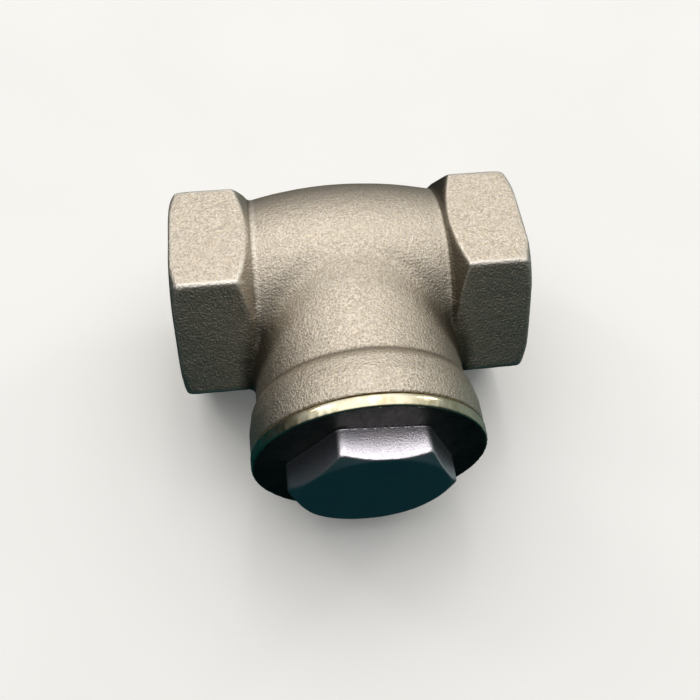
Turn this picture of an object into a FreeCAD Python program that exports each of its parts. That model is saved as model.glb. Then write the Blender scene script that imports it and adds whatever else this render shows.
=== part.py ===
import FreeCAD, Part
import math
import os

import Sketcher

# Threaded T-pattern strainer, 1 inch pipe size.
# Frame: the origin is where the run axis (X) crosses the branch axis (Y). The ports face -X and +X, the
# screwed cap faces -Y and Z points up. All sizes are millimetres.

SIZES = {
    # run of the body
    "run_half_length": 34.5,
    "port_hex_flats": 40.0,
    "port_hex_turn": 90.0,
    "port_hex_corner_round": 0.9,
    "port_hex_end_edge_radius": 20.4,
    "port_hex_end_chamfer": 1.55,
    "belly_radius": 21.45,
    "belly_end_radius": 19.45,
    "belly_end_x": 18.45,
    "belly_arc_radius": 84.5,
    "notch_radius": 19.1,
    "notch_x": 18.85,
    "notch_slope_end_x": 21.9,
    "notch_slope_end_radius": 23.4,
    "clear_radius": 30.0,
    # branch of the body
    "neck_radius": 20.5,
    "neck_end_y": -28.1,
    "collar_start_radius": 21.6,
    "collar_start_y": -30.0,
    "collar_radius": 22.2,
    "collar_full_y": -33.5,
    "collar_face_y": -38.1,
    "neck_blend_radius": 4.5,
    # port threads, G 1
    "port_minor_radius": 15.146,
    "port_major_radius": 16.62,
    "port_pitch": 2.309,
    "port_flank_angle": 27.5,
    "port_root_width": 0.36,
    "port_relief_radius": 15.2,
    "port_relief_x": 22.9,
    "port_floor_x": 20.4,
    "port_mouth_radius": 17.1,
    "port_thread_length": 12.1,
    "thread_lead_in": 1.5,
    "thread_overlap": 0.4,
    # chamber inside the body
    "waterway_radius": 12.5,
    "waterway_end_x": 20.9,
    "chamber_end_x": 15.8,
    "chamber_end_radius": 16.4,
    "chamber_arc_radius": 81.3,
    "neck_bore_radius": 17.3,
    "neck_bore_split_y": -24.0,
    "neck_bore_overlap": 0.5,
    # wall between the inlet side and the outlet side
    "seat_mid_y": 0.5,
    "seat_half_thickness": 1.5,
    "wall_root_x": 13.7,
    "wall_bend_x": 14.5,
    "wall_foot_x": 16.2,
    "wall_reach": 18.5,
    "wall_ramp_reach": 13.5,
    "wall_outer_x": 21.5,
    "wall_ramp_x": 20.4,
    "seat_hole_radius": 11.0,
    "seat_pocket_radius": 13.0,
    "seat_pocket_depth": 1.2,
    # cap thread, M38 x 1.5, and the seal pocket
    "cap_pitch": 1.5,
    "cap_flank_angle": 30.0,
    "cap_bore_radius": 18.188,
    "cap_bore_major_radius": 19.0,
    "cap_bore_root_width": 0.31,
    "cap_bore_chamfer": 0.9,
    "cap_relief_radius": 19.15,
    "cap_relief_start_y": -29.0,
    "cap_relief_end_y": -31.0,
    "cap_bore_thread_start_y": -39.6,
    "cap_bore_thread_length": 9.3,
    "seal_pocket_radius": 21.1,
    "seal_pocket_depth": 0.8,
    # cap
    "cap_thread_radius": 18.85,
    "cap_root_radius": 18.0,
    "cap_crest_width": 0.15,
    "cap_shank_end_y": -29.8,
    "cap_shank_chamfer": 0.6,
    "cap_undercut_radius": 17.8,
    "cap_undercut_y": -37.0,
    "cap_seal_face_y": -38.3,
    "cap_flange_radius": 22.2,
    "cap_flange_face_y": -40.65,
    "cap_flange_edge": 0.3,
    "cap_hex_flats": 28.0,
    "cap_hex_turn": 6.9,
    "cap_hex_face_y": -46.8,
    "cap_hex_face_radius": 13.8,
    "cap_hex_chamfer": 1.45,
    "cap_hollow_radius": 15.5,
    "cap_recess_radius": 13.0,
    "cap_recess_y": -39.5,
    "cap_core_radius": 10.5,
    "cap_core_y": -43.5,
    "cap_phase_turns": 7.5,
    # seal
    "seal_inner_radius": 19.2,
    "seal_outer_radius": 21.0,
    # screen
    "ring_outer_radius": 12.9,
    "ring_inner_radius": 10.7,
    "ring_step_radius": 12.15,
    "ring_height": 2.5,
    "ring_step_depth": 1.5,
    "tube_outer_radius": 12.1,
    "tube_inner_radius": 11.6,
    "liner_outer_radius": 11.5,
    "liner_inner_radius": 11.15,
    "tube_hole_radius": 1.2,
    "tube_hole_rows": 5,
    "tube_holes_around": 20,
    "tube_hole_pitch": 6.4,
}

FULL_TURN = 360
HALF_TURN = 180
HEX_STEP = 60
FLAT_TO_CORNER = 30
SQUARE_ROOT_OF_THREE = math.sqrt(3)

doc = FreeCAD.newDocument("t_strainer")

sheet = doc.addObject("Spreadsheet::Sheet", "Sizes")
for row, (alias, value) in enumerate(SIZES.items(), start=1):
    sheet.set(f"A{row}", str(value))
    sheet.setAlias(f"A{row}", alias)
doc.recompute()


class Dimension:
    """A number together with the spreadsheet expression that gives it."""

    def __init__(self, value, text):
        self.value = float(value)
        self.text = text

    def combine(self, other, sign, work):
        other = as_dimension(other)
        return Dimension(work(self.value, other.value), f"({self.text} {sign} {other.text})")

    def __add__(self, other):
        return self.combine(other, "+", lambda a, b: a + b)

    def __sub__(self, other):
        return self.combine(other, "-", lambda a, b: a - b)

    def __mul__(self, other):
        return self.combine(other, "*", lambda a, b: a * b)

    def __truediv__(self, other):
        return self.combine(other, "/", lambda a, b: a / b)

    def __neg__(self):
        return self * -1


def as_dimension(number):
    if isinstance(number, Dimension):
        return number
    return Dimension(number, f"({number!r})")


def size(alias):
    return Dimension(SIZES[alias], f"Sizes.{alias}")


def tangent(angle):
    return Dimension(math.tan(math.radians(angle.value)), f"tan({angle.text} * 1 deg)")


def sine(angle):
    return Dimension(math.sin(math.radians(angle.value)), f"sin({angle.text} * 1 deg)")


def cosine(angle):
    return Dimension(math.cos(math.radians(angle.value)), f"cos({angle.text} * 1 deg)")


def bind(thing, prop, dimension):
    """Set a property from its spreadsheet expression."""
    thing.setExpression(prop, as_dimension(dimension).text)


def new_body(label):
    body = doc.addObject("PartDesign::Body", label)
    body.Label = label
    return body


def origin_part(body, role):
    return next(item for item in body.Origin.OriginFeatures if item.Role == role)


def new_sketch(body, name, plane, offset=None, turn=None):
    """An empty sketch on one of the body's own origin planes, moved along and turned about its axes."""
    sketch = body.newObject("Sketcher::SketchObject", name)
    sketch.AttachmentSupport = [(origin_part(body, plane), "")]
    sketch.MapMode = "FlatFace"
    if offset is not None:
        bind(sketch, "AttachmentOffset.Base.z", offset)
    if turn is not None:
        sketch.AttachmentOffset = FreeCAD.Placement(
            FreeCAD.Vector(0, 0, 0), FreeCAD.Rotation(FreeCAD.Vector(1, 0, 0), turn.value)
        )
        bind(sketch, "AttachmentOffset.Rotation.Angle", turn)
    return sketch


def pin(sketch, geometry, point, x, y):
    """Hold one sketch point at x, y from the sketch origin."""
    for kind, axis, distance in (("DistanceX", -2, x), ("DistanceY", -1, y)):
        distance = as_dimension(distance)
        if distance.value == 0:
            sketch.addConstraint(Sketcher.Constraint("PointOnObject", geometry, point, axis))
            continue
        index = sketch.addConstraint(
            Sketcher.Constraint(kind, -1, 1, geometry, point, distance.value)
        )
        bind(sketch, f"Constraints[{index}]", distance)


def vector(x, y):
    return FreeCAD.Vector(as_dimension(x).value, as_dimension(y).value, 0)


def crowned_edge(start, end, radius):
    """The arc of a given radius from start to end whose centre lies on the low side of the chord."""
    chord = end - start
    middle = (start + end) * 0.5
    drop = math.sqrt(radius**2 - (chord.Length / 2) ** 2)
    centre = middle - FreeCAD.Vector(0, drop, 0)
    crown = centre + FreeCAD.Vector(0, radius, 0)
    return Part.Arc(start, crown, end)


def draw_outline(sketch, corners, crowned=None, crown_radius=None):
    """Draw a closed outline through the corners. Edge number `crowned` is an arc of crown_radius."""
    count = len(corners)
    for index, corner in enumerate(corners):
        start = vector(*corner)
        end = vector(*corners[(index + 1) % count])
        if index == crowned:
            sketch.addGeometry(crowned_edge(start, end, crown_radius.value), False)
        else:
            sketch.addGeometry(Part.LineSegment(start, end), False)
    # an arc runs anticlockwise, so its start and end points swap when the outline runs clockwise
    ends = {index: (1, 2) for index in range(count)}
    if crowned is not None:
        ends[crowned] = (2, 1) if vector(*corners[crowned]).x < 0 else (1, 2)
    for index in range(count):
        after = (index + 1) % count
        sketch.addConstraint(
            Sketcher.Constraint("Coincident", index, ends[index][1], after, ends[after][0])
        )
    for index, corner in enumerate(corners):
        pin(sketch, index, ends[index][0], *corner)
    if crowned is not None:
        index = sketch.addConstraint(Sketcher.Constraint("Radius", crowned, crown_radius.value))
        bind(sketch, f"Constraints[{index}]", crown_radius)


def turned(body, name, axis, corners, kind="PartDesign::Revolution", **outline):
    """Turn an outline drawn in the XY plane about the X or Y axis, adding or cutting metal."""
    sketch = new_sketch(body, f"{name}_outline", "XY_Plane")
    draw_outline(sketch, corners, **outline)
    feature = body.newObject(kind, name)
    feature.Profile = sketch
    feature.ReferenceAxis = (origin_part(body, axis), [""])
    feature.Angle = FULL_TURN
    doc.recompute()
    return feature


def turned_cut(body, name, axis, corners, **outline):
    return turned(body, name, axis, corners, kind="PartDesign::Groove", **outline)


def thread_cut(body, name, axis, outline, pitch, length, reverse):
    """Cut a right-hand thread by sweeping its groove outline along a helix about the axis."""
    sketch = new_sketch(body, f"{name}_outline", "XY_Plane")
    draw_outline(sketch, outline)
    feature = body.newObject("PartDesign::SubtractiveHelix", name)
    feature.Profile = sketch
    feature.ReferenceAxis = (origin_part(body, axis), [""])
    feature.Mode = 0
    bind(feature, "Pitch", pitch)
    bind(feature, "Height", length)
    feature.Angle = 0
    feature.LeftHanded = False
    feature.Reversed = reverse
    doc.recompute()
    return feature


def hexagon(sketch, flats, turn):
    """A hexagon whose corners start `turn` degrees from the sketch's Y axis towards its X axis."""
    corner_radius = flats / SQUARE_ROOT_OF_THREE
    corners = []
    for step in range(FULL_TURN // HEX_STEP):
        angle = as_dimension(turn) + HEX_STEP * step
        corners.append((corner_radius * sine(angle), corner_radius * cosine(angle)))
    draw_outline(sketch, corners)


def edges_where(shape, test):
    """Names of the edges whose sampled points all pass the test."""
    names = []
    for number, edge in enumerate(shape.Edges, start=1):
        samples = edge.discretize(Number=5)
        if all(test(point) for point in samples):
            names.append(f"Edge{number}")
    return names


def distance_from_x(point):
    return math.hypot(point.y, point.z)


def distance_from_y(point):
    return math.hypot(point.x, point.z)


# ---------------------------------------------------------------- body, outside

CLOSE = 0.02

shell = new_body("body_casting")

bar_sketch = new_sketch(shell, "hexagon_bar_outline", "YZ_Plane")
hexagon(bar_sketch, size("port_hex_flats"), size("port_hex_turn"))
bar = shell.newObject("PartDesign::Pad", "hexagon_bar")
bar.Profile = bar_sketch
bind(bar, "Length", size("run_half_length") * 2)
bar.Midplane = True
doc.recompute()

corner_radius = SIZES["port_hex_flats"] / SQUARE_ROOT_OF_THREE
long_corners = edges_where(
    bar.Shape, lambda point: abs(distance_from_x(point) - corner_radius) < CLOSE
)
long_corners = [
    name for name in long_corners if bar.Shape.getElement(name).Length > SIZES["run_half_length"]
]
round_corners = shell.newObject("PartDesign::Fillet", "hexagon_corner_rounds")
round_corners.Base = (bar, long_corners)
bind(round_corners, "Radius", size("port_hex_corner_round"))
doc.recompute()

clear = size("clear_radius")
slope_x = size("notch_slope_end_x")
slope_radius = size("notch_slope_end_radius")
turned_cut(
    shell,
    "waist",
    "X_Axis",
    [
        (-slope_x, slope_radius),
        (-size("notch_x"), size("notch_radius")),
        (size("notch_x"), size("notch_radius")),
        (slope_x, slope_radius),
        (slope_x, clear),
        (-slope_x, clear),
    ],
)

end_x = size("run_half_length")
end_edge = size("port_hex_end_edge_radius")
chamfer_depth = size("port_hex_end_chamfer")
chamfer_rise = chamfer_depth * SQUARE_ROOT_OF_THREE
for side, name in ((-1, "inlet"), (1, "outlet")):
    turned_cut(
        shell,
        f"{name}_end_chamfer",
        "X_Axis",
        [
            (end_x * side, end_edge),
            ((end_x - chamfer_depth) * side, end_edge + chamfer_rise),
            ((end_x - chamfer_depth) * side, clear),
            ((end_x + 1) * side, clear),
            ((end_x + 1) * side, end_edge),
        ],
    )

belly = turned(
    shell,
    "belly",
    "X_Axis",
    [
        (-size("notch_x"), 0),
        (-size("notch_x"), size("notch_radius")),
        (-size("belly_end_x"), size("belly_end_radius")),
        (size("belly_end_x"), size("belly_end_radius")),
        (size("notch_x"), size("notch_radius")),
        (size("notch_x"), 0),
    ],
    crowned=2,
    crown_radius=size("belly_arc_radius"),
)

neck = turned(
    shell,
    "neck_and_collar",
    "Y_Axis",
    [
        (0, 0),
        (size("neck_radius"), 0),
        (size("neck_radius"), size("neck_end_y")),
        (size("collar_start_radius"), size("collar_start_y")),
        (size("collar_radius"), size("collar_full_y")),
        (size("collar_radius"), size("collar_face_y")),
        (0, size("collar_face_y")),
    ],
)


def belly_surface_radius(x):
    centre_drop = math.sqrt(SIZES["belly_arc_radius"] ** 2 - SIZES["belly_end_x"] ** 2)
    centre_radius = SIZES["belly_end_radius"] - centre_drop
    return centre_radius + math.sqrt(SIZES["belly_arc_radius"] ** 2 - x**2)


def in_crease(point):
    on_neck = abs(distance_from_y(point) - SIZES["neck_radius"]) < CLOSE
    on_belly = abs(distance_from_x(point) - belly_surface_radius(point.x)) < CLOSE
    return on_neck and on_belly and abs(point.x) <= SIZES["belly_end_x"] + CLOSE


crease = shell.newObject("PartDesign::Fillet", "neck_blend")
crease.Base = (neck, edges_where(neck.Shape, in_crease))
bind(crease, "Radius", size("neck_blend_radius"))
doc.recompute()

# ---------------------------------------------------------------- body, bores and threads

for side, name in ((-1, "inlet"), (1, "outlet")):
    turned_cut(
        shell,
        f"{name}_port_bore",
        "X_Axis",
        [
            (size("port_floor_x") * side, 0),
            (size("port_floor_x") * side, size("port_relief_radius")),
            (size("port_relief_x") * side, size("port_relief_radius")),
            (size("port_relief_x") * side, size("port_minor_radius")),
            (
                (end_x - (size("port_mouth_radius") - size("port_minor_radius"))) * side,
                size("port_minor_radius"),
            ),
            (end_x * side, size("port_mouth_radius")),
            ((end_x + 1) * side, size("port_mouth_radius")),
            ((end_x + 1) * side, 0),
        ],
    )
    groove_inner = size("port_minor_radius") - size("thread_overlap")
    half_root = size("port_root_width") / 2
    flank = (size("port_major_radius") - groove_inner) * tangent(size("port_flank_angle"))
    start = (end_x + size("thread_lead_in")) * side
    thread_cut(
        shell,
        f"{name}_thread",
        "X_Axis",
        [
            (start - half_root, size("port_major_radius")),
            (start - half_root - flank, groove_inner),
            (start + half_root + flank, groove_inner),
            (start + half_root, size("port_major_radius")),
        ],
        size("port_pitch"),
        size("port_thread_length"),
        reverse=side > 0,
    )

seal_pocket_y = size("collar_face_y") + size("seal_pocket_depth")
turned_cut(
    shell,
    "cap_bore",
    "Y_Axis",
    [
        (0, size("neck_bore_split_y")),
        (size("neck_bore_radius"), size("neck_bore_split_y")),
        (size("neck_bore_radius"), size("cap_relief_start_y")),
        (size("cap_relief_radius"), size("cap_relief_start_y")),
        (size("cap_relief_radius"), size("cap_relief_end_y")),
        (size("cap_bore_radius"), size("cap_relief_end_y")),
        (size("cap_bore_radius"), seal_pocket_y + size("cap_bore_chamfer")),
        (size("cap_bore_radius") + size("cap_bore_chamfer"), seal_pocket_y),
        (size("seal_pocket_radius"), seal_pocket_y),
        (size("seal_pocket_radius"), size("collar_face_y") - 1),
        (0, size("collar_face_y") - 1),
    ],
)
groove_inner = size("cap_bore_radius") - size("thread_overlap")
half_root = size("cap_bore_root_width") / 2
flank = (size("cap_bore_major_radius") - groove_inner) * tangent(size("cap_flank_angle"))
start = size("cap_bore_thread_start_y")
thread_cut(
    shell,
    "cap_bore_thread",
    "Y_Axis",
    [
        (size("cap_bore_major_radius"), start - half_root),
        (size("cap_bore_major_radius"), start + half_root),
        (groove_inner, start + half_root + flank),
        (groove_inner, start - half_root - flank),
    ],
    size("cap_pitch"),
    size("cap_bore_thread_length"),
    reverse=False,
)

# ---------------------------------------------------------------- body, chamber and dividing wall

space = new_body("chamber_space")
turned(
    space,
    "run_space",
    "X_Axis",
    [
        (-size("waterway_end_x"), 0),
        (-size("waterway_end_x"), size("waterway_radius")),
        (-size("chamber_end_x"), size("waterway_radius")),
        (-size("chamber_end_x"), size("chamber_end_radius")),
        (size("chamber_end_x"), size("chamber_end_radius")),
        (size("chamber_end_x"), size("waterway_radius")),
        (size("waterway_end_x"), size("waterway_radius")),
        (size("waterway_end_x"), 0),
    ],
    crowned=3,
    crown_radius=size("chamber_arc_radius"),
)
turned(
    space,
    "neck_space",
    "Y_Axis",
    [
        (0, 0),
        (size("neck_bore_radius"), 0),
        (size("neck_bore_radius"), size("neck_bore_split_y") - size("neck_bore_overlap")),
        (0, size("neck_bore_split_y") - size("neck_bore_overlap")),
    ],
)

wall = new_body("dividing_wall")
wall_sketch = new_sketch(wall, "wall_outline", "XY_Plane")
middle = size("seat_mid_y")
branch_face = middle - size("seat_half_thickness")
back_face = middle + size("seat_half_thickness")
first_side = [
    (-size("wall_outer_x"), middle - size("wall_reach")),
    (-size("wall_foot_x"), middle - size("wall_reach")),
    (-size("wall_root_x"), branch_face),
    (size("wall_bend_x"), branch_face),
    (size("wall_ramp_x"), middle + size("wall_ramp_reach")),
]
second_side = [
    (size("wall_outer_x"), middle + size("wall_reach")),
    (size("wall_foot_x"), middle + size("wall_reach")),
    (size("wall_root_x"), back_face),
    (-size("wall_bend_x"), back_face),
    (-size("wall_ramp_x"), middle - size("wall_ramp_reach")),
]
draw_outline(wall_sketch, first_side + second_side)
wall_pad = wall.newObject("PartDesign::Pad", "wall_pad")
wall_pad.Profile = wall_sketch
bind(wall_pad, "Length", size("clear_radius") * 2)
wall_pad.Midplane = True
doc.recompute()
turned_cut(
    wall,
    "seat_hole",
    "Y_Axis",
    [
        (0, branch_face - 1),
        (size("seat_pocket_radius"), branch_face - 1),
        (size("seat_pocket_radius"), branch_face + size("seat_pocket_depth")),
        (size("seat_hole_radius"), branch_face + size("seat_pocket_depth")),
        (size("seat_hole_radius"), back_face + 1),
        (0, back_face + 1),
    ],
)

chamber = doc.addObject("Part::Cut", "chamber")
chamber.Base = space
chamber.Tool = wall
strainer_body = doc.addObject("Part::Cut", "strainer_body")
strainer_body.Base = shell
strainer_body.Tool = chamber
strainer_body.Label = "strainer_body"
doc.recompute()

# ---------------------------------------------------------------- cap

cap = new_body("cap")
flange_face = size("cap_flange_face_y")
flange_edge = size("cap_flange_edge")
turned(
    cap,
    "flange_and_shank",
    "Y_Axis",
    [
        (0, size("cap_shank_end_y")),
        (size("cap_thread_radius") - size("cap_shank_chamfer"), size("cap_shank_end_y")),
        (size("cap_thread_radius"), size("cap_shank_end_y") - size("cap_shank_chamfer")),
        (size("cap_thread_radius"), size("cap_undercut_y")),
        (size("cap_undercut_radius"), size("cap_undercut_y")),
        (size("cap_undercut_radius"), size("cap_seal_face_y")),
        (size("cap_flange_radius"), size("cap_seal_face_y")),
        (size("cap_flange_radius"), flange_face + flange_edge),
        (size("cap_flange_radius") - flange_edge, flange_face),
        (0, flange_face),
    ],
)
head_sketch = new_sketch(cap, "head_outline", "XZ_Plane", offset=-flange_face)
hexagon(head_sketch, size("cap_hex_flats"), size("cap_hex_turn") + FLAT_TO_CORNER)
head = cap.newObject("PartDesign::Pad", "head")
head.Profile = head_sketch
bind(head, "Length", flange_face - size("cap_hex_face_y"))
doc.recompute()
head_face = size("cap_hex_face_y")
turned_cut(
    cap,
    "head_chamfer",
    "Y_Axis",
    [
        (size("cap_hex_face_radius"), head_face),
        (
            size("cap_hex_face_radius") + size("cap_hex_chamfer") * SQUARE_ROOT_OF_THREE,
            head_face + size("cap_hex_chamfer"),
        ),
        (clear, head_face + size("cap_hex_chamfer")),
        (clear, head_face - 1),
        (size("cap_hex_face_radius"), head_face - 1),
    ],
)
turned_cut(
    cap,
    "hollow",
    "Y_Axis",
    [
        (0, size("cap_shank_end_y") + 1),
        (size("cap_hollow_radius"), size("cap_shank_end_y") + 1),
        (size("cap_hollow_radius"), size("cap_undercut_y")),
        (size("cap_recess_radius"), size("cap_undercut_y")),
        (size("cap_recess_radius"), size("cap_recess_y")),
        (size("cap_core_radius"), size("cap_recess_y")),
        (size("cap_core_radius"), size("cap_core_y")),
        (0, size("cap_core_y")),
    ],
)
groove_outer = size("cap_thread_radius") + size("thread_overlap")
crest_gap = size("cap_pitch") - size("cap_crest_width")
opening_half = crest_gap / 2 + size("thread_overlap") * tangent(size("cap_flank_angle"))
groove_depth = size("cap_thread_radius") - size("cap_root_radius")
root_half = crest_gap / 2 - groove_depth * tangent(size("cap_flank_angle"))
start = size("cap_bore_thread_start_y") + size("cap_pitch") * size("cap_phase_turns")
cap_thread_length = start - size("cap_undercut_y") + size("cap_pitch") / 4
thread_cut(
    cap,
    "cap_thread",
    "Y_Axis",
    [
        (groove_outer, start - opening_half),
        (groove_outer, start + opening_half),
        (size("cap_root_radius"), start + root_half),
        (size("cap_root_radius"), start - root_half),
    ],
    size("cap_pitch"),
    cap_thread_length,
    reverse=True,
)

# ---------------------------------------------------------------- seal

seal = new_body("cap_seal_ring")
turned(
    seal,
    "seal_ring",
    "Y_Axis",
    [
        (size("seal_inner_radius"), size("cap_seal_face_y")),
        (size("seal_outer_radius"), size("cap_seal_face_y")),
        (size("seal_outer_radius"), seal_pocket_y),
        (size("seal_inner_radius"), seal_pocket_y),
    ],
)

# ---------------------------------------------------------------- screen

ring_seat_y = branch_face + size("seat_pocket_depth")


def screen_ring(label, end_y, inward):
    """A stepped ring that closes one end of the screen. Inward is the direction of the tube."""
    ring = new_body(label)
    step_y = end_y + (size("ring_height") - size("ring_step_depth")) * inward
    lip_y = end_y + size("ring_height") * inward
    turned(
        ring,
        f"{label}_profile",
        "Y_Axis",
        [
            (size("ring_inner_radius"), end_y),
            (size("ring_outer_radius"), end_y),
            (size("ring_outer_radius"), lip_y),
            (size("ring_step_radius"), lip_y),
            (size("ring_step_radius"), step_y),
            (size("ring_inner_radius"), step_y),
        ],
    )
    return ring


base_ring = screen_ring("screen_base_ring", ring_seat_y, -1)
top_ring = screen_ring("screen_top_ring", size("cap_recess_y"), 1)

ring_floor = size("ring_height") - size("ring_step_depth")
tube_start_y = ring_seat_y - ring_floor
tube_end_y = size("cap_recess_y") + ring_floor


def screen_sleeve(label, inner, outer):
    sleeve = new_body(label)
    turned(
        sleeve,
        f"{label}_wall",
        "Y_Axis",
        [(inner, tube_end_y), (outer, tube_end_y), (outer, tube_start_y), (inner, tube_start_y)],
    )
    return sleeve


tube = screen_sleeve("screen_tube", size("tube_inner_radius"), size("tube_outer_radius"))
liner = screen_sleeve("screen_liner", size("liner_inner_radius"), size("liner_outer_radius"))


def hole_field(name, rows, first_y, turn):
    """A row of holes drilled through one side of the tube, repeated around it."""
    sketch = new_sketch(tube, f"{name}_centres", "YZ_Plane", turn=turn)
    for step in range(rows):
        centre_y = first_y - size("tube_hole_pitch") * step
        circle = Part.Circle(vector(centre_y, 0), FreeCAD.Vector(0, 0, 1), SIZES["tube_hole_radius"])
        index = sketch.addGeometry(circle, False)
        pin(sketch, index, 3, centre_y, 0)
        radius = sketch.addConstraint(
            Sketcher.Constraint("Radius", index, SIZES["tube_hole_radius"])
        )
        bind(sketch, f"Constraints[{radius}]", size("tube_hole_radius"))
    drill = tube.newObject("PartDesign::Pocket", f"{name}_drill")
    drill.Profile = sketch
    drill.Reversed = True
    bind(drill, "Length", size("clear_radius"))
    doc.recompute()
    around = tube.newObject("PartDesign::PolarPattern", f"{name}_around")
    around.Originals = [drill]
    around.Axis = (origin_part(tube, "Y_Axis"), [""])
    around.Angle = FULL_TURN
    bind(around, "Occurrences", size("tube_holes_around"))
    tube.Tip = around
    doc.recompute()
    return around


hole_rows = SIZES["tube_hole_rows"]
tube_middle_y = (tube_start_y + tube_end_y) / 2
first_hole_y = tube_middle_y + size("tube_hole_pitch") * (hole_rows / 2)
hole_field("even_holes", hole_rows + 1, first_hole_y, None)
stagger = as_dimension(HALF_TURN) / size("tube_holes_around")
hole_field("odd_holes", hole_rows, first_hole_y - size("tube_hole_pitch") / 2, stagger)

# ---------------------------------------------------------------- checks and files

pieces = [strainer_body, cap, seal, base_ring, top_ring, tube, liner]

doc.recompute()
for item in doc.Objects:
    for state in item.State:
        if state in ("Invalid", "Error"):
            raise RuntimeError(f"{item.Label} is {state}")

os.makedirs("parts", exist_ok=True)
for piece in pieces:
    shape = piece.Shape
    if shape.isNull() or not shape.isValid():
        raise RuntimeError(f"{piece.Label} has no valid shape")
    shape.exportStep(f"parts/{piece.Label}.step")
    box = shape.BoundBox
    print(
        f"{piece.Label}: {len(shape.Solids)} solid, {len(shape.Faces)} faces, {shape.Volume:.0f} mm3, "
        f"x {box.XMin:.2f}..{box.XMax:.2f} y {box.YMin:.2f}..{box.YMax:.2f} z {box.ZMin:.2f}..{box.ZMax:.2f}"
    )
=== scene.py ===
import math

import bmesh
import bpy
from mathutils import Matrix, Vector, noise


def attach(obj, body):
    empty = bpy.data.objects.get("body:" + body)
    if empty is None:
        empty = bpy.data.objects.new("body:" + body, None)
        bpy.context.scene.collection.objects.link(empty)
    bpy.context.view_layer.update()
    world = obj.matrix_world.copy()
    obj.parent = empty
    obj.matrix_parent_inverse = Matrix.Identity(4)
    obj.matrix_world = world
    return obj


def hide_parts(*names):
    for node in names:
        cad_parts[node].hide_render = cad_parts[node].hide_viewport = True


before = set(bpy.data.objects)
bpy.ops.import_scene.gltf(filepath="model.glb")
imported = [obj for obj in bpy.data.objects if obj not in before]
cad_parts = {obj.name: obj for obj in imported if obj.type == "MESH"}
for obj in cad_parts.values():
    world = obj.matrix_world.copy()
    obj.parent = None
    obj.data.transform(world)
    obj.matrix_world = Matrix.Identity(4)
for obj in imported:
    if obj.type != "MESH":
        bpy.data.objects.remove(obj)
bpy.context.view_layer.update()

MM = 0.001


# ------------------------------------------------------------------ sizes, in millimetres

RUN_HALF = 34.5
COLLAR_FACE = -38.1
HEXAGON_START = 20.0
RIM_START = 31.6
RIM_RADIUS = 17.6
CREASE_RADIUS = 21.0
CREASE_REACH = 3.0
CREASE_END = 18.0
CORNER_ALONG = 19.2
CORNER_FROM_BRANCH = 20.8
CORNER_FROM_RUN = (18.0, 26.0)
CORNER_REACH = 2.6
CORNER_TOP = -9.0
BELLY_END = 18.1
WAIST_FOOT = 18.95
SLOPE_START = (18.85, 19.1)
SLOPE_END = (21.9, 23.4)
CROTCH_FROM_RUN = 22.2
COLLAR_STEP = -28.5
ABOVE_COLLAR = (-25.0, -23.5)
BORES_START = 15.7
BORE_RADII = (12.0, 15.6)
WELD_DISTANCE = 0.0004

# How nearly a face has to point along a direction to count as square to it.
SQUARE_ON = 0.95


# ------------------------------------------------------------------ camera

CAMERA_PLACE = Vector((-15.084, -100.162, 138.077)) * MM
CAMERA_RIGHT = Vector((0.99242545, -0.11899704, 0.03051929))
CAMERA_DOWN = Vector((-0.08515797, -0.84543397, -0.52724712))
CAMERA_FORWARD = Vector((0.08854289, 0.5206545, -0.84916373))
CAMERA_LENS = 41.1
CAMERA_SHIFT = (-0.00103, -0.0029)


def make_camera():
    data = bpy.data.cameras.new("camera")
    data.sensor_width = 36.0
    data.lens = CAMERA_LENS
    data.shift_x, data.shift_y = CAMERA_SHIFT
    data.clip_start = 0.005
    data.clip_end = 20.0
    camera = bpy.data.objects.new("camera", data)
    turn = Matrix((CAMERA_RIGHT, -CAMERA_DOWN, -CAMERA_FORWARD)).transposed()
    camera.matrix_world = Matrix.Translation(CAMERA_PLACE) @ turn.to_4x4()
    bpy.context.collection.objects.link(camera)
    bpy.context.scene.camera = camera


# ------------------------------------------------------------------ mesh tools


def add_object(name, mesh):
    thing = bpy.data.objects.new(name, mesh)
    bpy.context.collection.objects.link(thing)
    return thing


def mesh_from(name, vertices, faces):
    mesh = bpy.data.meshes.new(name)
    mesh.from_pydata([Vector(v) * MM for v in vertices], [], faces)
    mesh.validate()
    return mesh


def turned_solid(name, outline, axis, steps=192):
    """A closed solid turned about the X or Y axis from (along, radius) points that start and end on it."""
    vertices = []
    rings = []
    for along, radius in outline:
        if radius == 0:
            rings.append([len(vertices)])
            vertices.append((along, 0, 0) if axis == "X" else (0, along, 0))
            continue
        ring = []
        for step in range(steps):
            angle = 2 * math.pi * step / steps
            across, up = radius * math.cos(angle), radius * math.sin(angle)
            ring.append(len(vertices))
            vertices.append((along, across, up) if axis == "X" else (across, along, up))
        rings.append(ring)
    faces = []
    for first, second in zip(rings, rings[1:]):
        for step in range(steps):
            after = (step + 1) % steps
            if len(first) == 1 and len(second) == 1:
                break
            if len(first) == 1:
                faces.append((first[0], second[after], second[step]))
            elif len(second) == 1:
                faces.append((first[step], first[after], second[0]))
            else:
                faces.append((first[step], first[after], second[after], second[step]))
    mesh = mesh_from(name, vertices, faces)
    point_outwards(mesh)
    return add_object(name, mesh)


def point_outwards(mesh):
    work = bmesh.new()
    work.from_mesh(mesh)
    bmesh.ops.recalc_face_normals(work, faces=work.faces)
    if work.calc_volume(signed=True) < 0:
        bmesh.ops.reverse_faces(work, faces=work.faces)
    work.to_mesh(mesh)
    work.free()


def apply_modifiers(thing):
    """Replace an object's mesh with what its modifiers make of it."""
    graph = bpy.context.evaluated_depsgraph_get()
    graph.update()
    made = bpy.data.meshes.new_from_object(thing.evaluated_get(graph))
    thing.modifiers.clear()
    thing.data = made


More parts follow.
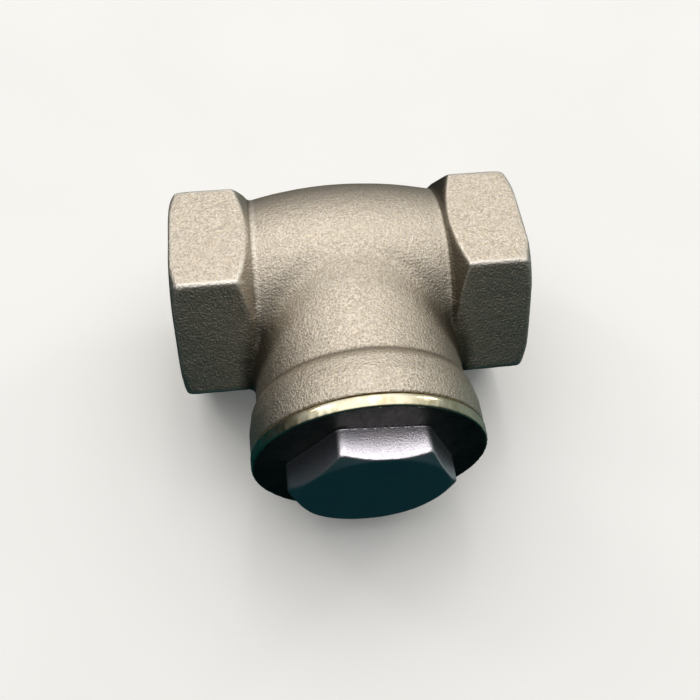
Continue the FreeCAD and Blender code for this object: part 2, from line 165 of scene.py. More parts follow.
def combine(thing, other, operation):
    """Boolean with another object, which is then deleted."""
    modifier = thing.modifiers.new("combine", "BOOLEAN")
    modifier.operation = operation
    modifier.solver = "MANIFOLD"
    modifier.object = other
    apply_modifiers(thing)
    bpy.data.objects.remove(other)


def soften(thing, voxel, *rounds):
    """Rebuild the surface in even small faces and round its edges, as a casting's are.

    Each round is a number of passes and a test of where, in millimetres, they apply.
    """
    remesh = thing.modifiers.new("remesh", "REMESH")
    remesh.mode = "VOXEL"
    remesh.voxel_size = voxel * MM
    apply_modifiers(thing)
    for passes, test in rounds:
        group = thing.vertex_groups.new(name="softened")
        group.add([v.index for v in thing.data.vertices if test(v.co / MM)], 1.0, "REPLACE")
        smooth = thing.modifiers.new("smooth", "SMOOTH")
        smooth.factor = 0.5
        smooth.iterations = passes
        smooth.vertex_group = "softened"
        apply_modifiers(thing)
        thing.vertex_groups.clear()


def everywhere(place):
    return True


def on_hexagon(place):
    return abs(place.x) > HEXAGON_START


def on_hexagon_rim(place):
    return abs(place.x) > RIM_START and math.hypot(place.y, place.z) > RIM_RADIUS


def in_crease(place):
    """Near the line where the branch meets the run."""
    from_branch = math.hypot(place.x, place.z)
    from_run = math.hypot(place.y, place.z)
    near_branch = abs(from_branch - CREASE_RADIUS) < CREASE_REACH
    near_run = abs(from_run - CREASE_RADIUS) < CREASE_REACH
    return near_branch and near_run and abs(place.x) < CREASE_END


def in_corner(place):
    """Where the run, the branch and the slope up to a hexagon all meet."""
    from_branch = math.hypot(place.x, place.z)
    from_run = math.hypot(place.y, place.z)
    near_slope = abs(abs(place.x) - CORNER_ALONG) < CORNER_REACH
    near_branch = abs(from_branch - CORNER_FROM_BRANCH) < CORNER_REACH
    low, high = CORNER_FROM_RUN
    return near_slope and near_branch and low < from_run < high and place.y < CORNER_TOP


def copy_of_node(node):
    return add_object(f"{node}_copy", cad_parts[node].data.copy())


def weld(thing):
    """Join vertices that sit on each other, so that the surface is closed."""
    work = bmesh.new()
    work.from_mesh(thing.data)
    bmesh.ops.remove_doubles(work, verts=work.verts, dist=WELD_DISTANCE * MM)
    work.to_mesh(thing.data)
    work.free()


def shade(thing, angle=32):
    """Smooth shading that keeps edges sharper than the angle."""
    thing.data.shade_smooth()
    thing.data.set_sharp_from_angle(angle=math.radians(angle))


def set_stops(ramp, stops):
    """Fill a colour ramp node from (position, colour) stops."""
    elements = ramp.color_ramp.elements
    while len(elements) < len(stops):
        elements.new(0.5)
    for element, (position, colour) in zip(elements, stops):
        element.position = position
        element.color = (*colour, 1)


def paint(thing, *materials):
    thing.data.materials.clear()
    for material in materials:
        thing.data.materials.append(material)


def paint_where(thing, index, test):
    """Give a material slot to the faces whose centre, in millimetres, passes the test."""
    for face in thing.data.polygons:
        centre = face.center / MM
        if test(centre, face.normal):
            face.material_index = index


# ------------------------------------------------------------------ materials


class Nodes:
    """Short names for building a node material."""

    def __init__(self, name):
        self.material = bpy.data.materials.new(name)
        self.material.use_nodes = True
        self.tree = self.material.node_tree
        self.tree.nodes.clear()
        self.shader = self.add("ShaderNodeBsdfPrincipled")
        output = self.add("ShaderNodeOutputMaterial")
        self.link(self.shader.outputs["BSDF"], output.inputs["Surface"])
        self.place = self.add("ShaderNodeTexCoord").outputs["Object"]

    def add(self, kind, **settings):
        node = self.tree.nodes.new(kind)
        for key, value in settings.items():
            setattr(node, key, value)
        return node

    def link(self, source, target):
        self.tree.links.new(source, target)

    def put(self, socket, value):
        if isinstance(value, bpy.types.NodeSocket):
            self.link(value, socket)
        else:
            socket.default_value = value

    def math(self, operation, first, second=0.0):
        node = self.add("ShaderNodeMath", operation=operation)
        self.put(node.inputs[0], first)
        self.put(node.inputs[1], second)
        return node.outputs[0]

    def product(self, *values):
        total = values[0]
        for value in values[1:]:
            total = self.math("MULTIPLY", total, value)
        return total

    def along(self, axis):
        """How far along an axis of the part the surface is, in metres."""
        split = self.add("ShaderNodeSeparateXYZ")
        self.link(self.place, split.inputs[0])
        return split.outputs[axis]

    def moved(self, distance):
        """The surface's place, moved so that two noises of one size differ."""
        node = self.add("ShaderNodeVectorMath", operation="ADD")
        self.link(self.place, node.inputs[0])
        node.inputs[1].default_value = (distance, distance, distance)
        return node.outputs[0]

    def away_from(self, axis):
        """Distance from an axis of the part, in millimetres."""
        flat = self.add("ShaderNodeVectorMath", operation="MULTIPLY")
        self.link(self.place, flat.inputs[0])
        flat.inputs[1].default_value = [0 if name == axis else 1 / MM for name in "XYZ"]
        length = self.add("ShaderNodeVectorMath", operation="LENGTH")
        self.link(flat.outputs[0], length.inputs[0])
        return length.outputs["Value"]

    def near(self, value, target, reach, level=0.0):
        """1 up to `level` either side of the target, 0 from `reach` away."""
        off = self.math("ABSOLUTE", self.math("SUBTRACT", value, target))
        return self.spread(off, level, reach, 1.0, 0.0)

    def noise(self, size, detail=2.0, rough=0.5, place=None):
        """Noise whose blobs are about `size` millimetres across."""
        node = self.add("ShaderNodeTexNoise")
        self.link(place or self.place, node.inputs["Vector"])
        node.inputs["Scale"].default_value = 1 / (size * MM)
        node.inputs["Detail"].default_value = detail
        node.inputs["Roughness"].default_value = rough
        return node.outputs["Fac"]

    def cells(self, size, output="Color"):
        node = self.add("ShaderNodeTexVoronoi")
        self.link(self.place, node.inputs["Vector"])
        node.inputs["Scale"].default_value = 1 / (size * MM)
        return node.outputs[output]

    def ramp(self, value, *stops):
        """Colour ramp from (position, colour) stops."""
        node = self.add("ShaderNodeValToRGB")
        self.put(node.inputs["Fac"], value)
        set_stops(node, stops)
        return node.outputs["Color"]

    def spread(self, value, low, high, to_low=0.0, to_high=1.0):
        node = self.add("ShaderNodeMapRange")
        self.put(node.inputs["Value"], value)
        node.inputs["From Min"].default_value = low
        node.inputs["From Max"].default_value = high
        node.inputs["To Min"].default_value = to_low
        node.inputs["To Max"].default_value = to_high
        return node.outputs["Result"]

    def blend(self, factor, first, second, mode="MIX"):
        node = self.add("ShaderNodeMix", data_type="RGBA", blend_type=mode)
        self.put(node.inputs["Factor"], factor)
        self.put(node.inputs[6], first if not isinstance(first, tuple) else (*first, 1))
        self.put(node.inputs[7], second if not isinstance(second, tuple) else (*second, 1))
        return node.outputs[2]

    def bump(self, height, depth, strength=1.0, normal=None):
        """Bump whose full height is `depth` millimetres."""
        node = self.add("ShaderNodeBump")
        node.inputs["Strength"].default_value = strength
        node.inputs["Distance"].default_value = depth * MM
        self.link(height, node.inputs["Height"])
        if normal is not None:
            self.link(normal, node.inputs["Normal"])
        return node.outputs["Normal"]

    def edges(self, low=0.5, high=0.62):
        """1 on outward edges, 0 on flats."""
        node = self.add("ShaderNodeNewGeometry")
        return self.spread(node.outputs["Pointiness"], low, high)

    def finish(self, colour, roughness, normal=None, metallic=1.0):
        self.put(self.shader.inputs["Base Color"], colour)
        self.put(self.shader.inputs["Roughness"], roughness)
        self.shader.inputs["Metallic"].default_value = metallic
        if normal is not None:
            self.link(normal, self.shader.inputs["Normal"])
        return self.material


def by_side(n, low_side, high_side):
    """One level on the half of the run towards -X, another towards +X."""
    return n.spread(n.along("X"), -1.0 * MM, 1.0 * MM, low_side, high_side)


def clear_of_collar(n):
    """1 on the run and the branch, 0 on the collar."""
    collar, neck = ABOVE_COLLAR
    return n.spread(n.along("Y"), collar * MM, neck * MM)


def casting_wear_and_highlight(n):
    """Edge wear and painted highlight: 1 on the long corners and other outward edges of the port hexagons,
    and at the belly's ends.
    """
    run = n.math("ABSOLUTE", n.along("X"))
    on_hexagon = n.spread(run, HEXAGON_START * MM, (HEXAGON_START + 1.0) * MM)
    # Painted highlight, partly real edge wear, along the hexagons' long corners and outward edges.
    corners = n.math("DIVIDE", n.math("ARCTAN2", n.along("Z"), n.along("Y")), math.pi / 3)
    off_corner = n.math("PINGPONG", corners, 0.5)
    worn_and_lit = n.math("MAXIMUM", n.spread(off_corner, 0.010, 0.026, 1.0, 0.0), n.edges(0.505, 0.545))
    worn_and_lit = n.product(worn_and_lit, n.math("MULTIPLY", on_hexagon, 0.95))
    # Painted highlight on the belly's ends, stronger on the -X side where the light catches them.
    belly_end = n.product(
        n.near(n.math("MULTIPLY", run, 1 / MM), BELLY_END, 0.5),
        n.spread(n.away_from("Y"), 22.0, 23.5),
        clear_of_collar(n),
        by_side(n, 0.4, 0.2),
    )
    return n.math("MAXIMUM", worn_and_lit, belly_end)


def casting_painted_shade(n):
    """Painted shade, 1 in the hollows where shade falls: where the branch meets the run, at the collar's step
    and on the hexagons' slopes.
    """
    run = n.math("ABSOLUTE", n.along("X"))
    from_run, from_branch = n.away_from("X"), n.away_from("Y")
    # Painted shade where the branch meets the run, weaker far above and below the run's axis.
    crotch = n.product(
        n.near(from_run, CROTCH_FROM_RUN, 4.2, 1.8),
        n.near(from_branch, CREASE_RADIUS, 2.8, 0.8),
        n.spread(n.math("ABSOLUTE", n.along("Z")), 10.0 * MM, 18.0 * MM, 0.8, 0.15),
        n.spread(n.along("Y"), CORNER_TOP * MM, (CORNER_TOP + 4.0) * MM, 1.0, 0.0),
    )
    (start, start_radius), (end, end_radius) = SLOPE_START, SLOPE_END
    skin = n.spread(run, start * MM, end * MM, start_radius, end_radius)
    # Painted shade on the hexagons' inner slopes and at the waist's foot, stronger on the +X side.
    slope = n.product(
        n.spread(n.math("SUBTRACT", from_run, skin), -0.7, -0.3),
        n.spread(run, 18.5 * MM, 18.8 * MM),
        by_side(n, 0.0, 0.85),
    )
    foot = n.product(
        n.near(n.math("MULTIPLY", run, 1 / MM), WAIST_FOOT, 0.45),
        by_side(n, 0.6, 1.2),
        n.spread(from_branch, 21.0, 22.5),
    )
    slope = n.product(n.math("MAXIMUM", slope, foot), clear_of_collar(n))
    # Painted shade at the collar's step.
    step = n.product(
        n.near(n.math("MULTIPLY", n.along("Y"), 1 / MM), COLLAR_STEP, 0.9),
        n.math("MULTIPLY", n.spread(from_branch, 20.0, 20.3), 0.6),
    )
    hollows = n.math("MAXIMUM", n.math("MAXIMUM", crotch, step), slope)
    return n.math("MINIMUM", hollows, 0.92)


def blasted_bronze():
    """Sand-blasted casting: warm grey-tan, with a fine sparkling grain, painted shade in the hollows and
    painted highlights on the edges.
    """
    n = Nodes("blasted_bronze")
    grain = n.noise(0.42, detail=3.0, rough=0.62)
    specks = n.noise(0.2, detail=1.0)
    patches = n.noise(9.0, detail=3.0)
    tones = (0.3, (0.40, 0.34, 0.27)), (0.5, (0.585, 0.515, 0.43)), (0.7, (0.77, 0.705, 0.615))
    colour = n.ramp(grain, *tones)
    colour = n.blend(n.spread(patches, 0.4, 0.7, 0, 0.3), colour, (0.60, 0.53, 0.45))
    colour = n.blend(n.spread(specks, 0.62, 0.72, 0, 0.5), colour, (0.86, 0.80, 0.72))
    gold, slate = n.noise(0.31, detail=1.0, place=n.moved(5.0)), n.noise(0.36, detail=1.0, place=n.moved(9.0))
    colour = n.blend(n.spread(gold, 0.60, 0.70, 0, 0.45), colour, (0.80, 0.66, 0.40))
    colour = n.blend(n.spread(slate, 0.60, 0.70, 0, 0.45), colour, (0.44, 0.46, 0.50))
    # Painted highlight, partly real edge wear: near-white on the hexagons' edges and the belly's ends.
    colour = n.blend(casting_wear_and_highlight(n), colour, (0.98, 0.93, 0.86))
    # Painted shade: near-black brown in the crotch, at the collar's step and on the hexagons' slopes.
    colour = n.blend(casting_painted_shade(n), colour, (0.11, 0.092, 0.062))
    roughness = n.spread(grain, 0.3, 0.7, 0.48, 0.33)
    broad = n.bump(n.noise(1.6, detail=2.0), 0.10, 0.7)
    normal = n.bump(grain, 0.20, 1.0, broad)
    return n.finish(colour, roughness, normal)


def turned_brass():
    """Lathe-turned brass: bright and pale yellow, with fine rings round the branch axis."""
    n = Nodes("turned_brass")
    along = n.math("MULTIPLY", n.along("Y"), 1 / (0.07 * MM))
    rings = n.noise(0.9, detail=1.0)
    lines = n.math("SINE", n.math("ADD", along, n.math("MULTIPLY", rings, 5.0)))
    lines = n.spread(lines, -1.0, 1.0)
    stain = n.noise(2.5, detail=4.0, rough=0.6)
    colour = n.ramp(stain, (0.35, (0.62, 0.55, 0.36)), (0.6, (0.80, 0.76, 0.58)))
    colour = n.blend(n.math("MULTIPLY", n.edges(), 0.5), colour, (0.92, 0.88, 0.72))
    roughness = n.spread(stain, 0.35, 0.7, 0.13, 0.24)
    normal = n.bump(lines, 0.004, 0.5)
    return n.finish(colour, roughness, normal)


def faced_brass():
    """The flange's outer face: very dark brown-grey, dull, with faint turning rings."""
    n = Nodes("faced_brass")
    mottle = n.noise(3.0, detail=4.0, rough=0.6)
    grain = n.noise(0.3, detail=2.0)
    colour = n.ramp(mottle, (0.35, (0.055, 0.055, 0.05)), (0.65, (0.11, 0.105, 0.10)))
    roughness = n.spread(grain, 0.3, 0.7, 0.46, 0.58)
    normal = n.bump(grain, 0.03, 0.6)
    return n.finish(colour, roughness, normal)


def forged_brass():
    """Finely blasted forging: pale grey-lilac with small dark pits."""
    n = Nodes("forged_brass")
    grain = n.noise(0.28, detail=3.0, rough=0.6)
    pits = n.cells(0.9, "Distance")
    patches = n.noise(5.0, detail=2.0)
    colour = n.ramp(grain, (0.32, (0.76, 0.71, 0.83)), (0.5, (0.91, 0.87, 0.98)), (0.7, (1.0, 0.97, 1.0)))
    colour = n.blend(n.spread(patches, 0.45, 0.7, 0, 0.5), colour, (0.80, 0.77, 0.92))
    colour = n.blend(n.spread(pits, 0.06, 0.14, 0.55, 0.0), colour, (0.20, 0.18, 0.17))
    colour = n.blend(n.math("MULTIPLY", n.edges(), 0.4), colour, (0.80, 0.75, 0.70))
    roughness = n.spread(grain, 0.3, 0.7, 0.36, 0.26)
    normal = n.bump(grain, 0.07, 0.8)
    return n.finish(colour, roughness, normal)


def bored_brass():
    """Machined bores and threads: yellow brass with tool marks."""
    n = Nodes("bored_brass")
    marks = n.noise(0.5, detail=2.0)
    stain = n.noise(4.0, detail=3.0)
    colour = n.ramp(stain, (0.35, (0.55, 0.44, 0.24)), (0.65, (0.74, 0.64, 0.40)))
    roughness = n.spread(marks, 0.3, 0.7, 0.34, 0.48)
    normal = n.bump(marks, 0.015, 0.6)
    return n.finish(colour, roughness, normal)


def screen_steel():
    """Drawn stainless wire and sheet: cool grey, finely brushed."""
    n = Nodes("screen_steel")
    brush = n.noise(0.35, detail=2.0)
    stain = n.noise(6.0, detail=3.0)
    colour = n.ramp(stain, (0.35, (0.50, 0.50, 0.49)), (0.7, (0.66, 0.65, 0.62)))
    colour = n.blend(n.math("MULTIPLY", n.edges(), 0.4), colour, (0.78, 0.78, 0.77))
    roughness = n.spread(brush, 0.3, 0.7, 0.22, 0.4)
    normal = n.bump(brush, 0.006, 0.5)
    return n.finish(colour, roughness, normal)


def seal_rubber():
    """Moulded black rubber with a faint bloom."""
    n = Nodes("seal_rubber")
    mould = n.noise(0.3, detail=2.0)
    bloom = n.noise(3.0, detail=2.0)
    colour = n.ramp(bloom, (0.4, (0.012, 0.012, 0.012)), (0.7, (0.035, 0.034, 0.033)))
    roughness = n.spread(mould, 0.3, 0.7, 0.6, 0.8)
    normal = n.bump(mould, 0.02, 0.5)
    n.shader.inputs["Specular IOR Level"].default_value = 0.35
    return n.finish(colour, roughness, normal, metallic=0.0)


# ------------------------------------------------------------------ casting

CAST_VOXEL = 0.38
CAST_SMOOTHING = 3
HEXAGON_SMOOTHING = 7
RIM_SMOOTHING = 20
CREASE_SMOOTHING = 12
CORNER_SMOOTHING = 70
CAST_WAVE = 0.10


def metal_core(name, proud):
    """A solid whose skin runs inside the walls of the casting. It reaches `proud` past each mouth."""
    end = RUN_HALF + proud
    run = turned_solid(
        name,
        [
            (-end, 0), (-end, 17.6), (-17, 17.6), (-8, 18.7), (0, 19.3),
            (8, 18.7), (17, 17.6), (end, 17.6), (end, 0),
        ],
        "X",
    )
    mouth = COLLAR_FACE - proud
    branch = turned_solid(
        f"{name}_branch",
        [
            (0, 0), (0, 18.8), (-28.8, 18.8), (-30.0, 20.0), (-36.6, 20.3),
            (-37.1, 21.6), (mouth, 21.6), (mouth, 0),
        ],
        "Y",
    )
    combine(run, branch, "UNION")
    return run


def roughen_casting(mesh):
    """Slow dents and swells, inwards only, as a sand mould leaves them."""
    mesh.update()
    moved = []
    for vertex in mesh.vertices:
        place = vertex.co / MM
        slow = noise.noise(place * 0.16)
        quick = noise.noise(place * 0.55 + Vector((7.0, 3.0, 1.0)))
        dip = CAST_WAVE * (0.5 + 0.4 * slow + 0.25 * quick)
        moved.append(vertex.co - vertex.normal * max(dip, 0.0) * MM)
    for vertex, place in zip(mesh.vertices, moved):
        vertex.co = place
    mesh.update()


def machined_place(centre, normal):
    """True on the parts of the casting that a cutter has finished."""
    from_run = math.hypot(centre.y, centre.z)
    from_branch = math.hypot(centre.x, centre.z)
    in_port = abs(centre.x) > 20.3 and from_run < 17.5
    end_face = abs(centre.x) > RUN_HALF - 0.25 and abs(normal.x) > SQUARE_ON
    in_cap_bore = centre.y < -28.7 and from_branch < (20.3 if centre.y > -36.0 else 21.7)
    return in_port or end_face or in_cap_bore


def true_bores(mesh):
    """Point the shading of the two port bores straight at their axis, however long their faces are.

    This changes the shading only: the faces stay where they are.
    """
    smallest, largest = BORE_RADII
    normals = [corner.vector.copy() for corner in mesh.corner_normals]
    for face in mesh.polygons:
        centre = face.center / MM
        radius = math.hypot(centre.y, centre.z)
        if abs(centre.x) < BORES_START or not smallest < radius < largest:
            continue
        inwards = Vector((0, -centre.y, -centre.z)) / radius
        if face.normal.dot(inwards) < SQUARE_ON:
            continue
        for corner in face.loop_indices:
            place = mesh.vertices[mesh.loops[corner].vertex_index].co
            normals[corner] = Vector((0, -place.y, -place.z)).normalized()
    mesh.normals_split_custom_set(normals)


def make_casting(bronze, bored):
    outside = copy_of_node("strainer_body")
    weld(outside)
    hollow = metal_core("casting_hollow", 1.5)
    solid = outside.copy()
    solid.data = outside.data.copy()
    bpy.context.collection.objects.link(solid)
    combine(hollow, solid, "DIFFERENCE")
    combine(outside, metal_core("casting_fill", 0.0), "UNION")
    soften(
        outside, CAST_VOXEL, (CAST_SMOOTHING, everywhere), (HEXAGON_SMOOTHING, on_hexagon),
        (RIM_SMOOTHING, on_hexagon_rim), (CREASE_SMOOTHING, in_crease), (CORNER_SMOOTHING, in_corner),
    )
    roughen_casting(outside.data)
    combine(outside, hollow, "DIFFERENCE")
    outside.name = "cast_body"
    paint(outside, bronze, bored)
    paint_where(outside, 1, machined_place)
    shade(outside, 30)
    true_bores(outside.data)
    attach(outside, "casting")
    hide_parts("strainer_body")


# ------------------------------------------------------------------ cap

SEAL_FACE = -38.3
FLANGE_FACE = -40.65
FLANGE_RADIUS = 22.2
HEAD_FACE = -46.79
HEAD_FLATS = 28.0
HEAD_TURN = 6.9
HEAD_CORNER = 1.7
HEAD_VOXEL = 0.22


def rounded_hexagon(flats, turn, corner, steps=6):
    """Points of a hexagon with rounded corners, as (x, z), flats square to `turn` degrees from +Z."""
    reach = (flats / 2 - corner) / math.cos(math.radians(30))
    points = []
    for side in range(6):
        middle = turn + 30 + 60 * side
        centre = Vector((math.sin(math.radians(middle)), math.cos(math.radians(middle)))) * reach
        for step in range(steps + 1):
            angle = math.radians(middle - 30 + 60 * step / steps)
            points.append(centre + Vector((math.sin(angle), math.cos(angle))) * corner)
    return points


def prism(name, points, low, high):
    """A closed prism along Y from points in the XZ plane."""
    count = len(points)
    vertices = [(p.x, low, p.y) for p in points] + [(p.x, high, p.y) for p in points]
    faces = [tuple(range(count)), tuple(range(2 * count - 1, count - 1, -1))]
    for index in range(count):
        after = (index + 1) % count
        faces.append((index, index + count, after + count, after))
    mesh = mesh_from(name, vertices, faces)
    point_outwards(mesh)
    return add_object(name, mesh)


def make_head():
    head = prism(
        "cap_head", rounded_hexagon(HEAD_FLATS, HEAD_TURN, HEAD_CORNER), FLANGE_FACE + 0.8, HEAD_FACE
    )
    chamfer = turned_solid(
        "cap_head_chamfer",
        [(-39.0, 0), (-39.0, 16.9), (-45.01, 16.9), (HEAD_FACE - 0.05, 13.75), (HEAD_FACE - 0.05, 0)],
        "Y",
    )
    combine(head, chamfer, "INTERSECT")
    soften(head, HEAD_VOXEL, (6, everywhere))
    return head


def nick_rim(mesh):
    """Small burrs and dents along the flange's outer edge."""
    for vertex in mesh.vertices:
        place = vertex.co / MM
        radius = math.hypot(place.x, place.z)
        if place.y < -40.2 and radius > 21.5:
            angle = math.atan2(place.z, place.x)
            wave = noise.noise(Vector((math.cos(angle), math.sin(angle), 0.0)) * 26)
            fine = noise.noise(Vector((math.cos(angle), math.sin(angle), 4.0)) * 70)
            dent = max(0.0, 0.04 + 0.07 * wave + 0.03 * fine)
            scale = (radius - dent) / radius
            vertex.co = Vector((place.x * scale, place.y + dent * 0.5, place.z * scale)) * MM


def cap_places(centre, normal):
    """Material slot for a face of the cap: 0 turned, 1 forged, 2 bored, 3 faced."""
    radius = math.hypot(centre.x, centre.z)
    if abs(centre.y - FLANGE_FACE) < 0.03 and normal.y < -SQUARE_ON:
        return 3
    if (centre.y < FLANGE_FACE and radius > 10.6) or centre.y < HEAD_FACE + 1:
        return 1
    if centre.y > SEAL_FACE - 0.05 or radius < 15.6:
        return 2
    return 0


def turned_face(along, start, rings=9, depth=0.008):
    """Points of a faced-off disc, with the shallow rings that a cutter leaves."""
    return [(along + depth * (ring % 2), start * (1 - ring / (rings + 1))) for ring in range(rings)]


def make_cap(turned, forged, bored, faced):
    cap = turned_solid(
        "screwed_cap",
        [
            (SEAL_FACE, 0), (SEAL_FACE, 21.9), (SEAL_FACE - 0.12, FLANGE_RADIUS - 0.06),
            (SEAL_FACE - 0.25, FLANGE_RADIUS), (-39.2, FLANGE_RADIUS), (-40.2, FLANGE_RADIUS),
            (-40.4, FLANGE_RADIUS - 0.03), (-40.56, FLANGE_RADIUS - 0.14),
            (FLANGE_FACE, FLANGE_RADIUS - 0.34), *turned_face(FLANGE_FACE, FLANGE_RADIUS - 0.6),
            (FLANGE_FACE, 0),
        ],
        "Y",
        steps=384,
    )
    nick_rim(cap.data)
    shank = copy_of_node("cap")
    weld(shank)
    clip = turned_solid("cap_shank_clip", [(-28, 0), (-28, 20), (-38.6, 20), (-38.6, 0)], "Y")
    combine(shank, clip, "INTERSECT")
    combine(cap, shank, "UNION")
    combine(cap, make_head(), "UNION")
    hollow = turned_solid(
        "cap_hollow",
        [
            (-27, 0), (-27, 15.5), (-37.0, 15.5), (-37.0, 13.0), (-39.5, 13.0), (-39.5, 10.5),
            (-43.1, 10.5), (-43.5, 10.1), (-43.5, 0),
        ],
        "Y",
    )
    combine(cap, hollow, "DIFFERENCE")
    paint(cap, turned, forged, bored, faced)
    for face in cap.data.polygons:
        face.material_index = cap_places(face.center / MM, face.normal)
    shade(cap, 35)
    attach(cap, "screwed_cap")
    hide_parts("cap")


# ------------------------------------------------------------------ screen

WEAVE_RADIUS = 11.32
WEAVE_LIFT = 0.075
WIRE_RADIUS = 0.1
WEAVE_UPRIGHTS = 66
WEAVE_HOOPS = 34
SCREEN_START = -0.95
SCREEN_END = -38.35


def wire(vertices, faces, path, closed):
    """Add a four-sided wire along a path of points."""
    count = len(path)
    base = len(vertices)
    for index, place in enumerate(path):
        ahead = path[(index + 1) % count] if closed or index < count - 1 else place
        behind = path[index - 1] if closed or index > 0 else place
        along = (ahead - behind).normalized()
        out = Vector((place.x, 0, place.z)).normalized()
        side = along.cross(out).normalized()
        for direction in (out, side, -out, -side):
            vertices.append(place + direction * WIRE_RADIUS)
    for index in range(count if closed else count - 1):
        after = (index + 1) % count
        for corner in range(4):
            turn = (corner + 1) % 4
            faces.append((
                base + index * 4 + corner, base + after * 4 + corner,
                base + after * 4 + turn, base + index * 4 + turn,
            ))
    if not closed:
        faces.append(tuple(base + corner for corner in range(4)))
        faces.append(tuple(base + (count - 1) * 4 + corner for corner in (3, 2, 1, 0)))


def weave_point(angle, radius, along):
    return Vector((radius * math.cos(angle), along, radius * math.sin(angle)))


def make_weave(steel):
    """Plain-woven wire mesh rolled into a tube inside the perforated one."""
    vertices, faces = [], []
    pitch = (SCREEN_START - SCREEN_END) / WEAVE_HOOPS
    for upright in range(WEAVE_UPRIGHTS):
        angle = 2 * math.pi * upright / WEAVE_UPRIGHTS
        path = []
        for step in range(WEAVE_HOOPS * 4 + 1):
            across = step / 4
            lift = WEAVE_LIFT * math.cos(math.pi * (across + upright))
            path.append(weave_point(angle, WEAVE_RADIUS + lift, SCREEN_START - across * pitch))
        wire(vertices, faces, path, False)
    for hoop in range(WEAVE_HOOPS):
        path = []
        for step in range(WEAVE_UPRIGHTS * 4):
            across = step / 4
            angle = 2 * math.pi * across / WEAVE_UPRIGHTS
            lift = -WEAVE_LIFT * math.cos(math.pi * (across + hoop))
            path.append(weave_point(angle, WEAVE_RADIUS + lift, SCREEN_START - hoop * pitch))
        wire(vertices, faces, path, True)
    mesh = mesh_from("screen_weave", vertices, faces)
    point_outwards(mesh)
    weave = add_object("screen_weave", mesh)
    paint(weave, steel)
    weave.data.shade_smooth()
    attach(weave, "drawn_parts")
    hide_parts("screen_liner")


# ------------------------------------------------------------------ surroundings

FLOOR_Z = -22.25
SKY_MIDDLE = (0.02, 0.33, 0.944)
GLOWS = (
    ((0.87, 0.42, -0.25), 0.6, (0.20, 0.23, 0.21)),
    ((0.45, -0.88, 0.12), 0.5, (0.012, 0.016, 0.014)),
)
LAMP_DIRECTIONS = ((-0.616, 0.461, 0.639), (0.098, 0.461, 0.882), (0.761, 0.451, 0.466))
LAMP_DISTANCE = 0.8
LAMP_AIM = (0, -0.03, 0)
LAMP_WIDTH, LAMP_HEIGHT = 0.09, 0.25
LAMP_POWER = 0.35
LAMP_COLOUR = (1.0, 0.97, 0.90)
SKY_STOPS = (
    (0.0, (0.0005, 0.017, 0.019)),
    (0.30, (0.004, 0.026, 0.028)),
    (0.45, (0.014, 0.026, 0.027)),
    (0.575, (0.030, 0.034, 0.034)),
    (0.70, (0.16, 0.155, 0.145)),
    (0.825, (0.66, 0.65, 0.62)),
    (0.925, (1.31, 1.29, 1.24)),
    (1.0, (1.58, 1.55, 1.50)),
)
BACKDROP = (0.96, 0.96, 0.96)


def make_floor():
    floor = mesh_from(
        "floor",
        [(-2500, -2500, FLOOR_Z), (2500, -2500, FLOOR_Z), (2500, 2500, FLOOR_Z), (-2500, 2500, FLOOR_Z)],
        [(0, 1, 2, 3)],
    )
    thing = add_object("floor", floor)
    n = Nodes("pale_floor")
    colour = n.ramp(n.noise(60.0, detail=2.0), (0.3, (0.93, 0.93, 0.93)), (0.7, (0.96, 0.96, 0.96)))
    n.shader.inputs["Specular IOR Level"].default_value = 0.1
    n.shader.inputs["Emission Color"].default_value = (1, 1, 1, 1)
    n.shader.inputs["Emission Strength"].default_value = 0.07
    paint(thing, n.finish(colour, 0.9, metallic=0.0))
    thing.visible_glossy = False
    thing.visible_diffuse = False


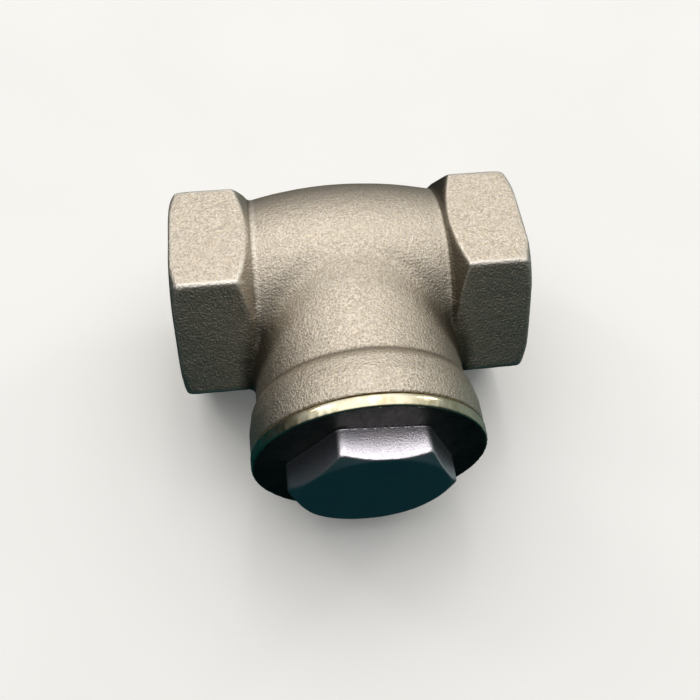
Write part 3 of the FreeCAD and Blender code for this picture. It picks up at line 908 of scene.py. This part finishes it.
def make_world():
    """Bright above and behind, dark teal in front and below, but pale where the camera looks."""
    world = bpy.data.worlds.new("studio")
    bpy.context.scene.world = world
    world.use_nodes = True
    tree = world.node_tree
    tree.nodes.clear()
    new, link = tree.nodes.new, tree.links.new
    place = new("ShaderNodeTexCoord")
    facing = new("ShaderNodeVectorMath")
    facing.operation = "DOT_PRODUCT"
    link(place.outputs["Generated"], facing.inputs[0])
    facing.inputs[1].default_value = SKY_MIDDLE
    height = new("ShaderNodeMapRange")
    height.inputs["From Min"].default_value = -1.0
    height.inputs["From Max"].default_value = 1.0
    link(facing.outputs["Value"], height.inputs["Value"])
    ramp = new("ShaderNodeValToRGB")
    set_stops(ramp, SKY_STOPS)
    link(height.outputs["Result"], ramp.inputs["Fac"])
    total = ramp.outputs["Color"]
    for direction, start, colour in GLOWS:
        towards = new("ShaderNodeVectorMath")
        towards.operation = "DOT_PRODUCT"
        link(place.outputs["Generated"], towards.inputs[0])
        towards.inputs[1].default_value = direction
        reach = new("ShaderNodeMapRange")
        reach.inputs["From Min"].default_value = start
        reach.inputs["From Max"].default_value = 1.0
        link(towards.outputs["Value"], reach.inputs["Value"])
        glow = new("ShaderNodeMix")
        glow.data_type = "RGBA"
        glow.blend_type = "ADD"
        link(reach.outputs["Result"], glow.inputs["Factor"])
        link(total, glow.inputs[6])
        glow.inputs[7].default_value = (*colour, 1)
        total = glow.outputs[2]
    light = new("ShaderNodeBackground")
    link(total, light.inputs["Color"])
    pale = new("ShaderNodeBackground")
    pale.inputs["Color"].default_value = (*BACKDROP, 1)
    path = new("ShaderNodeLightPath")
    mix = new("ShaderNodeMixShader")
    link(path.outputs["Is Camera Ray"], mix.inputs["Fac"])
    link(light.outputs[0], mix.inputs[1])
    link(pale.outputs[0], mix.inputs[2])
    output = new("ShaderNodeOutputWorld")
    link(mix.outputs[0], output.inputs["Surface"])


def area_light(name, place):
    """A narrow lamp that faces the branch."""
    data = bpy.data.lights.new(name, "AREA")
    data.shape = "RECTANGLE"
    data.size = LAMP_WIDTH
    data.size_y = LAMP_HEIGHT
    data.energy = LAMP_POWER
    data.color = LAMP_COLOUR
    light = bpy.data.objects.new(name, data)
    light.location = place
    aim = Vector(LAMP_AIM) - place
    light.rotation_mode = "QUATERNION"
    light.rotation_quaternion = aim.to_track_quat("-Z", "Y")
    bpy.context.collection.objects.link(light)


def make_lights():
    for number, direction in enumerate(LAMP_DIRECTIONS, start=1):
        area_light(f"lamp_{number}", Vector(direction).normalized() * LAMP_DISTANCE)


# ------------------------------------------------------------------ build

bpy.context.scene.view_settings.view_transform = "Standard"

make_camera()
make_world()
make_lights()
make_floor()

bronze = blasted_bronze()
bored = bored_brass()
steel = screen_steel()
make_casting(bronze, bored)
make_cap(turned_brass(), forged_brass(), bored, faced_brass())
make_weave(steel)
for ring in ("screen_base_ring", "screen_top_ring", "screen_tube"):
    paint(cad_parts[ring], steel)
paint(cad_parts["cap_seal_ring"], seal_rubber())
